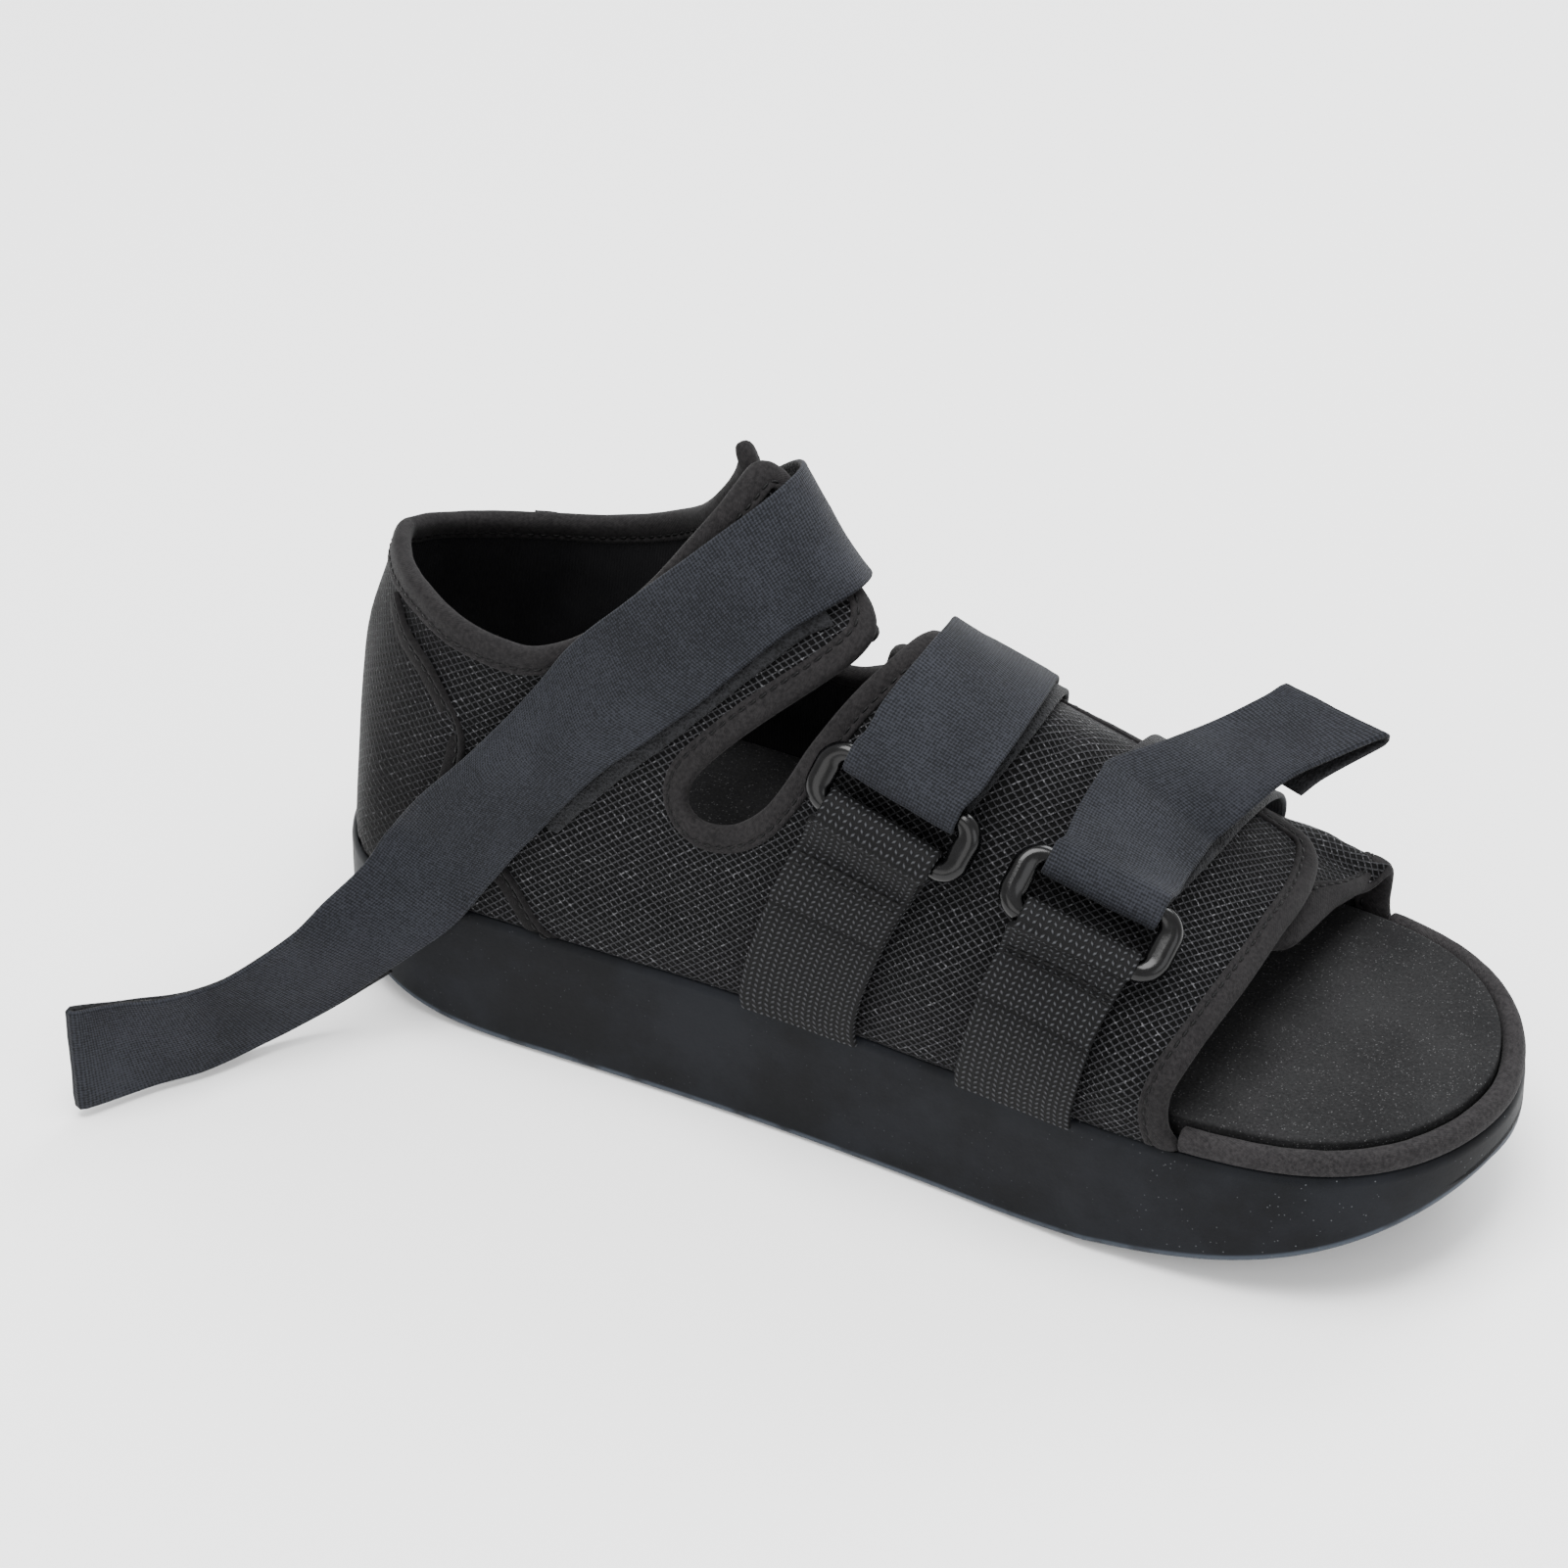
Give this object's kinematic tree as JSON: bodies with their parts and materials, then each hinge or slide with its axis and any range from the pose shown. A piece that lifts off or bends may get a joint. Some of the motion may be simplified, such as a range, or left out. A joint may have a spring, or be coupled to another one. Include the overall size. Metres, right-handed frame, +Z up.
{
  "type": "post operative shoe",
  "caption": "Open-toed post operative shoe with a rocker sole, a wrap-over mesh upper and hook and loop straps through plastic rings.",
  "frame": {"origin": "on the floor, at the middle of the sole's length and width, on the sole's flat tread", "axes": "+X to the toe, +Z up out of the floor, -Y to the side with the rings"},
  "size_m": [0.3086, 0.1641, 0.1555],
  "materials": {
    "sole_rubber": "matt moulded foam rubber",
    "insole_foam": "fine grained foam",
    "spacer_mesh": "open spacer mesh over foam",
    "binding_tape": "brushed stretch binding",
    "loop_tape": "fine loop tape",
    "webbing": "coarse woven webbing",
    "ring_plastic": "moulded nylon"
  },
  "bodies": {
    "root": {"sole": "sole_rubber", "insole": "insole_foam", "toe_rim": "binding_tape", "upper": "spacer_mesh", "ankle_strap": "loop_tape", "midfoot_strap": "loop_tape", "midfoot_tab": "webbing", "midfoot_ring": "ring_plastic", "forefoot_strap": "loop_tape", "forefoot_tab": "webbing", "forefoot_ring": "ring_plastic"}
  },
  "joints": []
}
